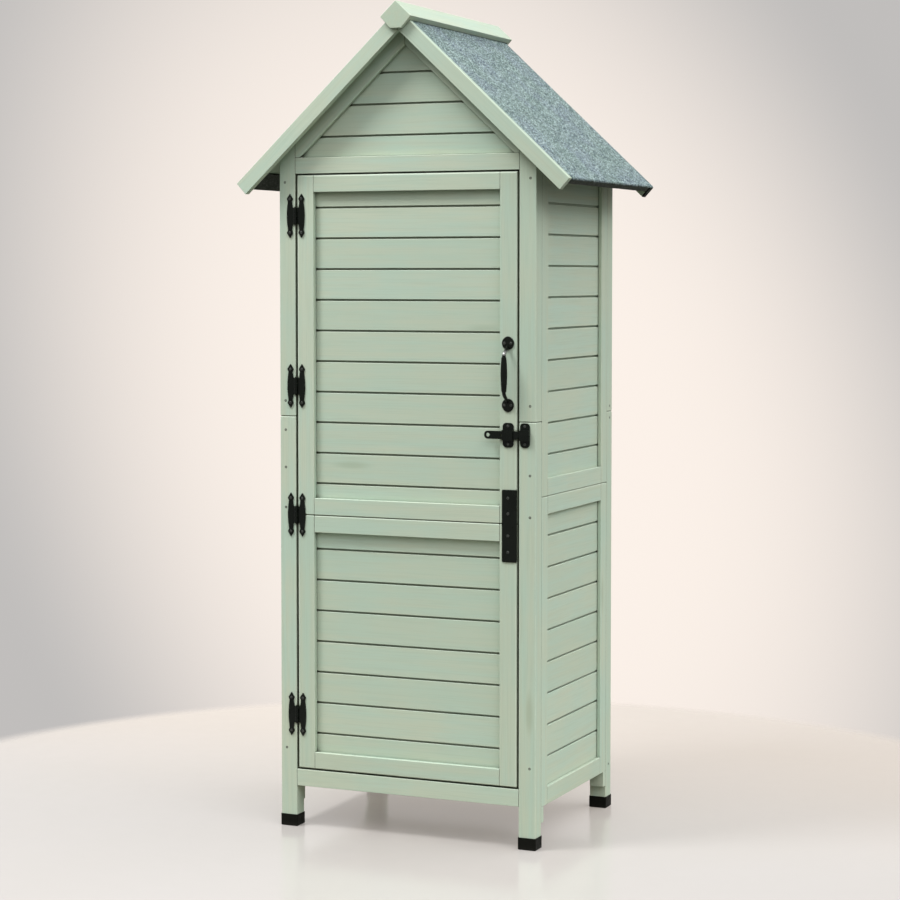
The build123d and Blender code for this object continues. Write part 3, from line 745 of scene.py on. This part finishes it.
FINISH = {"black_iron": (iron, 0.0005), "black_plastic": (plastic, 0.0015)}
kept = [node for node in sorted(nodes) if slot_of[node] in FINISH and node != "door_pull"]
for node in kept:
    solid = nodes[node]
    material, width = FINISH[slot_of[node]]
    solid.data.materials.clear()
    solid.data.materials.append(material)
    solid.modifiers.new("Join split corners", "WELD").merge_threshold = WELD
    rounding = solid.modifiers.new("Round the edges", "BEVEL")
    rounding.width = width
    rounding.segments = 2
    rounding.angle_limit = BEVEL_ANGLE
    keep_flat(solid)
print("kept as they are:", kept)

# %% [markdown]
# ## The pull
#
# The pull is one iron casting: two spade-shaped rosettes, two thin necks that lean out from them, and a
# grip that is thickest in its middle. A casting has no hard corner anywhere, so it is drawn here as a stack
# of rings along a path. Half of the path is a straight neck, a soft bend and a straight grip, and the other
# half mirrors it. Each place on the path has a distance from the door, a height and a girth.

# %% The path of the pull
ROSETTE_R = 0.0135
ROSETTE_TIP = 0.0145
ROSETTE_T = 0.0035
NECK_R = 0.0029
BEND_R = 0.0039
NECK_IN = 0.006
NECK_RUN = 0.017
NECK_BEND = 0.0055
NECK_STEPS = 5
BEND_STEPS = 8
GRIP_HALF = 0.0375
GRIP_R = 0.0071
GRIP_END_R = 0.0050
GRIP_SHARES = (0.995, 0.985, 0.96, 0.9, 0.8, 0.65, 0.5, 0.35, 0.2, 0.08)
SHOULDER = 0.06

low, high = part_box("door_pull")
pull_x = (low.x + high.x) / 2
pull_z = (high.z + low.z) / 2
door_y = high.y
half_span = (high.z - low.z) / 2 - ROSETTE_TIP
standoff = door_y - low.y - GRIP_R

start = Vector((ROSETTE_T / 2, half_span - NECK_IN))
corner = Vector((standoff, start.y - NECK_RUN))
bend_from = corner + (start - corner).normalized() * NECK_BEND
bend_to = corner - Vector((0, NECK_BEND))
half = [(start.lerp(bend_from, step / NECK_STEPS), NECK_R + (BEND_R - NECK_R) * step / NECK_STEPS)
        for step in range(NECK_STEPS + 1)]
for step in range(1, BEND_STEPS + 1):
    t = step / BEND_STEPS
    half.append((bend_from * (1 - t) ** 2 + corner * 2 * t * (1 - t) + bend_to * t * t, BEND_R))
for share in GRIP_SHARES:
    girth = GRIP_R - (GRIP_R - GRIP_END_R) * share ** 2
    rise = min(1.0, math.sqrt((1 - share) / SHOULDER))
    half.append((Vector((standoff, GRIP_HALF * share)), BEND_R + (girth - BEND_R) * rise))
half = [entry for index, entry in enumerate(half) if index == 0 or entry[0].y < half[index - 1][0].y]
path = half + [(Vector((spot.x, -spot.y)), girth) for spot, girth in reversed(half)]
print("path of", len(path), "rings, grip", round(standoff, 4), "m from the door")

# %% [markdown]
# A ring stands square to the path, so each one needs the direction from the ring before it to the ring after
# it. A hand hooks over the upper neck and rubs the lacquer thin there, and that is also where light from
# above glints, so each point stores how much rub and painted highlight it gets; only the upper end of the
# pull has any. The rosettes are domed plates whose outline is a circle drawn out to a point.

# %% Cast the pull
BOTH_WAYS = (1, -1)
AROUND = 20
RUB_AND_GLINT_UP = 0.017
RUB_AND_GLINT_DOWN = 0.0035
ROSETTE_AROUND = 40
TIP_SHARPNESS = 10
PLATE_RINGS = ((1.0, 0.0), (1.0, 0.0018), (0.95, 0.0026), (0.80, 0.0032),
               (0.55, ROSETTE_T), (0.2, ROSETTE_T))


def turns(count):
    """The angles of evenly spaced points around a circle."""
    return [2 * math.pi * n / count for n in range(count)]


def loops(bm, rings, foot=True):
    """Skins rings of points. The last ring is closed off, and the first where there is a foot."""
    made = [[bm.verts.new(point) for point in ring] for ring in rings]
    for first, second in zip(made, made[1:]):
        for index in range(len(first)):
            after = (index + 1) % len(first)
            bm.faces.new((first[index], first[after], second[after], second[index]))
    if foot:
        bm.faces.new(reversed(made[0]))
    bm.faces.new(made[-1])


def pull_ring(index):
    """The ring of points around one place of the path."""
    spot, girth = path[index]
    before, after = path[max(index - 1, 0)][0], path[min(index + 1, len(path) - 1)][0]
    ahead = Vector((0, -(after.x - before.x), after.y - before.y)).normalized()
    sideways = Vector((1, 0, 0))
    upwards = ahead.cross(sideways)
    middle = Vector((pull_x, door_y - spot.x, pull_z + spot.y))
    return [middle + (sideways * math.cos(a) + upwards * math.sin(a)) * girth for a in turns(AROUND)]


def rosette_ring(way, grow, lift):
    """A ring of the upper (1) or lower (-1) rosette: its share of the size, its height on the door."""
    ring = []
    for a in turns(ROSETTE_AROUND):
        tip = max(0.0, math.cos(a)) ** TIP_SHARPNESS * (ROSETTE_TIP - ROSETTE_R)
        size = (ROSETTE_R + tip) * grow
        ring.append(Vector((pull_x + size * math.sin(a), door_y - lift,
                            pull_z + way * (half_span + size * math.cos(a)))))
    return ring


bm = bmesh.new()
rub_and_glint = bm.verts.layers.float.new("rub_and_glint")
loops(bm, [pull_ring(index) for index in range(len(path))])
# rub and painted highlight only around the upper bend, where light from above glints
for vert in bm.verts:
    above = vert.co.z - pull_z - corner.y
    vert[rub_and_glint] = max(0.0, 1.0 - (above / RUB_AND_GLINT_UP if above > 0 else -above / RUB_AND_GLINT_DOWN))
for way in BOTH_WAYS:
    loops(bm, [rosette_ring(way, grow, lift) for grow, lift in PLATE_RINGS])
bmesh.ops.recalc_face_normals(bm, faces=bm.faces[:])
pull = finished("door_pull_casting", bm, "door_pull")
pull.data.materials.append(iron)
print("pull:", len(pull.data.vertices), "points")

# %% [markdown]
# ## Screws and nails
#
# Fittings this size are held by small cross-head screws. One head is a low dome with a sunk cross, built
# from rings: the inner rings pull in between the four arms. The same builder makes the dark countersunk
# screws in the posts and the nails in the ridge cap by changing the numbers. All the heads that move with
# one body are gathered into one mesh.

# %% A builder for heads
AROUND_HEAD = 24
HEAD_SINK = 0.0006
HEAD_SHAPE = ((1.0, 0.35), (0.86, 0.8), (0.58, 1.0))
ARM_REACH, BETWEEN_ARMS = 0.48, 0.17
CROSS_TAPER, CROSS_DEPTH = 0.85, 0.45
HEAD_SKIN = 0.002


def head_rings(radius, tall, cross):
    """Radius and height of each point of a head's rings; cross tells whether it has a cross recess."""
    shape = [(radius, -HEAD_SINK)] + [(radius * wide, tall * up) for wide, up in HEAD_SHAPE]
    rings = [[(size, up)] * AROUND_HEAD for size, up in shape]
    if cross:
        arms = [ARM_REACH if n % 6 in (0, 1, 5) else BETWEEN_ARMS for n in range(AROUND_HEAD)]
        rings.append([(radius * arm, tall) for arm in arms])
        rings.append([(radius * arm * CROSS_TAPER, tall - radius * CROSS_DEPTH) for arm in arms])
    return rings


def screw_heads(name, spots, body, slot, material, radius, tall, cross=True):
    """Heads at a list of places, each with the direction it looks, as one piece."""
    bm = bmesh.new()
    for spot, look in spots:
        look = Vector(look).normalized()
        first = look.cross(guide_for(look)).normalized()
        second = look.cross(first)
        twist = rng.uniform(0, math.pi)
        angles = [twist + turn for turn in turns(AROUND_HEAD)]
        loops(bm, [[Vector(spot) + look * up + first * size * math.cos(a) + second * size * math.sin(a)
                    for (size, up), a in zip(ring, angles)]
                   for ring in head_rings(radius, tall, cross)])
    bmesh.ops.recalc_face_normals(bm, faces=bm.faces[:])
    piece = finished(name, bm, body=body, slot=slot)
    piece.data.materials.append(material)


def head_metal(title, pattern, dark, pale, to_low, to_high, metallic=0.0):
    """A material whose colour and gloss follow one pattern of the skin group."""
    made, tree, shader = new_material(title)
    value = use(tree, skin, Place=own_place(tree), Size=HEAD_SKIN)[pattern]
    tree.links.new(mix(tree, value, dark, pale), shader["Base Color"])
    roughen(tree, shader, value, to_low, to_high)
    shader["Metallic"].default_value = metallic
    return made


print("a head has", len(head_rings(1, 1, True)), "rings of", AROUND_HEAD, "points")

# %% [markdown]
# The hinges have a screw near each spear tip. The plate has four, each rosette of the pull has two beside
# its neck, and the flanges of the bolt's guide and keeper have one above and one below.

# %% Screws in the fittings
FRONT, BACK = (0, -1, 0), (0, 1, 0)
HINGE_HEIGHTS = (0.250, 0.6905, 0.9725, 1.343)
LEAF_FACE = -0.2375
LEAF_OFFSET = 0.014
SPEAR_SCREW = 0.0365
PLATE_HEIGHTS = (0.7455, 0.7124, 0.6657, 0.6308)
PLATE_SCREW_IN = 0.003
ROSETTE_SCREW = 0.0076
ROSETTE_FACE = 0.0031
FLANGE_T = 0.002
FLANGE_SCREW = 0.0188
FITTING_SCREW = (0.0031, 0.0014)

pin_low, pin_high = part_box("hinge_pins")
axis_x = (pin_low.x + pin_high.x) / 2
plate_low, plate_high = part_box("door_plate")
plate_x = (plate_low.x + plate_high.x) / 2 - PLATE_SCREW_IN


def on_leaves(way):
    """Screws in the hinge leaves on the door (1) or on the post (-1)."""
    return [((axis_x + way * LEAF_OFFSET, LEAF_FACE, z + up * SPEAR_SCREW), FRONT)
            for z in HINGE_HEIGHTS for up in BOTH_WAYS]


on_post, on_door = on_leaves(-1), on_leaves(1)
on_door += [((plate_x, plate_low.y, z), FRONT) for z in PLATE_HEIGHTS]
on_door += [((pull_x + way * ROSETTE_SCREW, door_y - ROSETTE_FACE, pull_z + up * half_span), FRONT)
            for way in BOTH_WAYS for up in BOTH_WAYS]
for node, spots in (("bolt_guide", on_door), ("bolt_keeper", on_post)):
    low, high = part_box(node)
    middle = (low + high) / 2
    spots += [((middle.x, high.y - FLANGE_T, middle.z + up * FLANGE_SCREW), FRONT) for up in BOTH_WAYS]

black_screw = head_metal("Worn black screws", "Dimple", (0.018, 0.022, 0.018, 1),
                         (0.050, 0.056, 0.047, 1), 0.22, 0.38)
screw_heads("screws_post_fittings", on_post, "frame", "black_iron", black_screw, *FITTING_SCREW)
screw_heads("screws_door_fittings", on_door, "door", "black_iron", black_screw, *FITTING_SCREW)
print(len(on_post) + len(on_door), "screws in the fittings")

# %% [markdown]
# The posts are screwed to the panels from outside. Those screws are driven just under the surface, so only
# a small dark dimple shows. The front left post has one more, near its joint. The ridge cap is nailed
# through its wings.

# %% Screws in the posts and nails in the ridge
POST_HEIGHTS = (0.174, 0.706, 0.794, 0.940, 1.416)
SIDE_HEIGHTS = (0.099, 0.8917, 0.9184)
SPLICE_HEIGHT = 0.876
SCREW_IN = 0.0132
SIDE_SCREW_IN = 0.0155
POST_SCREW = (0.0029, 0.0002)
NAIL = (0.0020, 0.0004)
NAIL_IN = 0.100
NAIL_DOWN = 0.030
WING_T = 0.012

steel = head_metal("Dull screw steel", "Patch", (0.075, 0.085, 0.068, 1),
                   (0.15, 0.165, 0.135, 1), 0.40, 0.60, metallic=0.3)

body_low, body_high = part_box("post_front_left_lower")[0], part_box("post_rear_right_upper")[1]
front_y, rear_y = body_low.y, body_high.y
side_x = body_high.x


def down_posts(y, look):
    """Screws down both posts of the front or the back."""
    return [((way * (side_x - SCREW_IN), y, z), look) for way in BOTH_WAYS for z in POST_HEIGHTS]


dimples = down_posts(front_y, FRONT)
dimples += [((SCREW_IN - side_x, front_y, SPLICE_HEIGHT), FRONT)]
dimples += down_posts(rear_y, BACK)
dimples += [((way * side_x, rear_y - SIDE_SCREW_IN, z), (way, 0, 0))
            for way in BOTH_WAYS for z in SIDE_HEIGHTS]
screw_heads("screws_posts", dimples, "frame", "painted_wood", steel, *POST_SCREW)

cap_low, cap_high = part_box("ridge_cap")
nails = []
for way in BOTH_WAYS:
    outward = Vector((way * math.sin(ROOF_SLOPE), 0, math.cos(ROOF_SLOPE)))
    for y in (cap_low.y + NAIL_IN, 0.0, cap_high.y - NAIL_IN):
        nails.append((Vector((0, y, ridge_z)) + downhill(way) * NAIL_DOWN + outward * WING_T, outward))
screw_heads("nails_ridge", nails, "frame", "painted_wood", steel, *NAIL, cross=False)
print(len(dimples), "sunk screws and", len(nails), "nails")

# %% [markdown]
# ## Floor
#
# The shed stands in a plain studio. The floor is a pale disc whose rim fades out, so every side of the shed
# can be looked at with the same ground under it and nothing in the way. It throws a warm, dim light up at
# the shed. Only rays from the camera, and those that come by way of a reflection or through glass, see it
# paler than that and with a faint glow. So the picture gets its pale ground without more light on the shed,
# and the shadow stays.

# %% The floor
FLOOR_R = 1.50
FLOOR_AROUND = 96
FLOOR_RINGS = (FLOOR_R, FLOOR_R * 0.66, FLOOR_R * 0.33)
FLOOR_Z = -0.0003
FADE = 0.10
FLOOR = (0.315, 0.290, 0.235, 1)
FLOOR_SEEN = (0.390, 0.371, 0.353, 1)
GLOW_NEAR = (0.175, 0.167, 0.160, 1)
GLOW_FAR = (0.265, 0.215, 0.165, 1)
NO_GLOW = (0, 0, 0, 1)

floor_mesh = bpy.data.meshes.new("studio_floor")
bm = bmesh.new()
loops(bm, [[Vector((r * math.cos(a), r * math.sin(a), FLOOR_Z)) for a in turns(FLOOR_AROUND)]
           for r in FLOOR_RINGS], foot=False)
bmesh.ops.recalc_face_normals(bm, faces=bm.faces[:])
bm.to_mesh(floor_mesh)
bm.free()
floor = bpy.data.objects.new("studio_floor", floor_mesh)
bpy.context.collection.objects.link(floor)


def seen_rays(tree):
    """1 for rays from the camera, off a shiny surface or through glass, and 0 for the light itself."""
    ray = add(tree, "ShaderNodeLightPath").outputs
    straight = calc(tree, "MAXIMUM", ray["Is Camera Ray"], ray["Is Glossy Ray"])
    return calc(tree, "MAXIMUM", straight, ray["Is Transmission Ray"])


ground, tree, shader = new_material("Pale studio floor")
spot = own_place(tree)
away = add(tree, "ShaderNodeVectorMath", {0: spot}, operation="LENGTH").outputs["Value"]
dull = use(tree, skin, Place=spot, Size=0.05)
seen = seen_rays(tree)
swept = mix(tree, ramp(tree, dull["Patch"], 0.3, 0.7, 0.0, 0.08), FLOOR_SEEN, FLOOR)
glow = mix(tree, ramp(tree, axes_of(tree, spot)["Y"], -0.4, 1.1), GLOW_NEAR, GLOW_FAR)
tree.links.new(mix(tree, seen, FLOOR, swept), shader["Base Color"])
tree.links.new(mix(tree, seen, NO_GLOW, glow), shader["Emission Color"])
tree.links.new(ramp(tree, away, FLOOR_R - FADE, FLOOR_R, 1.0, 0.0), shader["Alpha"])
roughen(tree, shader, dull["Dimple"], 0.14, 0.18)
shader["Emission Strength"].default_value = 1.0
shader["Specular IOR Level"].default_value = 0.5
floor_mesh.materials.append(ground)
print("floor radius", FLOOR_R)

# %% [markdown]
# ## Light
#
# The light is that of a white tent: even and a little warm near the horizon, brighter high up at the right
# and at the front, and dim below. The camera, and anything that mirrors or lets through its view, sees a
# pale warm wall in place of the tent. The wall's light and shade are painted on it: it is brightest behind
# the shed, fades to a shaded grey at both sides, and its bright part leans a little. A real wall would hide
# the shed from behind, so it is only painted on the sky: the world's shader tells by the kind of ray which
# of the two to show.

# %% The tent and the wall
HORIZON = 0.33
ZENITH = 0.35
RIGHT_LOW = 0.30
RIGHT_HIGH = 3.30
FRONT_HIGH = 1.20
BELOW = 0.10
CLOTH_LOW = (1.0, 0.965, 0.84, 1)
CLOTH_HIGH = (1.0, 1.0, 1.02, 1)
# painted shade and light of the wall: grey at its sides, pale behind the shed
WALL_SHADED = (0.53, 0.515, 0.505, 1)
WALL_LIT = (0.975, 0.885, 0.815, 1)
WALL_SPAN = (0.9744, 0.9990)
BEHIND = math.radians(23.7)
BRIGHT_DROP = 0.06
HEIGHT_FADE = 0.3
LEAN = 0.22

world = bpy.data.worlds.new("White tent")
bpy.context.scene.world = world
world.use_nodes = True
tree = world.node_tree
part = axes_of(tree, add(tree, "ShaderNodeTexCoord").outputs["Generated"])
right = calc(tree, "MAXIMUM", part["X"], 0.0)
front = calc(tree, "MAXIMUM", times(tree, part["Y"], -1.0), 0.0)
sides = plus(tree, times(tree, right, RIGHT_LOW), HORIZON)
sides = times(tree, sides, ramp(tree, part["Z"], -0.05, 0.05))
above = plus(tree, times(tree, right, RIGHT_HIGH), times(tree, front, FRONT_HIGH))
above = times(tree, plus(tree, above, ZENITH), ramp(tree, part["Z"], 0.30, 0.60))
tent = plus(tree, calc(tree, "MAXIMUM", sides, BELOW), above)
cloth = mix(tree, ramp(tree, part["Z"], 0.05, 0.50), CLOTH_LOW, CLOTH_HIGH)

level = add(tree, "ShaderNodeCombineXYZ", {"X": part["X"], "Y": part["Y"]}).outputs[0]
level = add(tree, "ShaderNodeVectorMath", {0: level}, operation="NORMALIZE").outputs[0]


def turned_to(direction):
    """How far the level view direction agrees with another."""
    made = add(tree, "ShaderNodeVectorMath", {0: level, 1: direction}, operation="DOT_PRODUCT")
    return made.outputs["Value"]


behind = turned_to((-math.sin(BEHIND), math.cos(BEHIND), 0.0))
beside = turned_to((math.cos(BEHIND), math.sin(BEHIND), 0.0))
height = calc(tree, "POWER", calc(tree, "ABSOLUTE", plus(tree, part["Z"], BRIGHT_DROP)), 2.0)
lean = times(tree, times(tree, part["Z"], beside), LEAN)
bright = calc(tree, "SUBTRACT", calc(tree, "SUBTRACT", behind, times(tree, height, HEIGHT_FADE)), lean)
wall = mix(tree, ramp(tree, bright, *WALL_SPAN), WALL_SHADED, WALL_LIT)

seen = seen_rays(tree)
back = tree.nodes["Background"].inputs
strength = add(tree, "ShaderNodeMix", {0: seen, 2: tent, 3: 1.0}, data_type="FLOAT").outputs[0]
tree.links.new(mix(tree, seen, cloth, wall), back["Color"])
tree.links.new(strength, back["Strength"])
print("tent", HORIZON, "near the horizon and", BELOW, "below")

# %% [markdown]
# A tent alone gives hardly any shadow. One large soft lamp, high at the front left, draws the lap under each
# board and the shade beside the frames. A disc of over a metre keeps the edges of those shadows soft. The
# camera doesn't see the lamp itself, and the colours are shown as they are, without a film look.

# %% The lamp
LAMP_SIZE = 1.3
LAMP_POWER = 152
LAMP_PLACE = (-1.70, -1.75, 4.60)
LAMP_AIM = Vector((0, 0, 0.8))

lamp = bpy.data.lights.new("Soft front lamp", "AREA")
lamp.shape = "DISK"
lamp.size = LAMP_SIZE
lamp.energy = LAMP_POWER
key = bpy.data.objects.new("soft_front_lamp", lamp)
bpy.context.collection.objects.link(key)
key.location = LAMP_PLACE
key.rotation_euler = (LAMP_AIM - key.location).to_track_quat("-Z", "Y").to_euler()
key.visible_camera = False
bpy.context.scene.view_settings.view_transform = "Standard"
print("lamp of", lamp.energy, "W at", LAMP_PLACE)

# %% [markdown]
# ## Camera
#
# The photograph was taken a little to the right of the shed's front, from about five metres, at the height
# of a tall person's chest. A long lens keeps the sides nearly parallel. The camera leans down three degrees
# and the picture is shifted a little, which brings the shed to its place in the frame.

# %% The camera
CAMERA_PLACE = (2.0949, -4.7835, 1.2136)
LEAN_DOWN = 3.0
TURN_LEFT = 23.63

lens = bpy.data.cameras.new("Photo camera")
lens.sensor_width = 36
lens.lens = 93.69
lens.shift_y = -0.0576
camera = bpy.data.objects.new("photo_camera", lens)
bpy.context.collection.objects.link(camera)
camera.location = CAMERA_PLACE
camera.rotation_euler = (math.radians(90 - LEAN_DOWN), 0, math.radians(TURN_LEFT))
bpy.context.scene.camera = camera
print("camera at", tuple(round(value, 3) for value in camera.location))
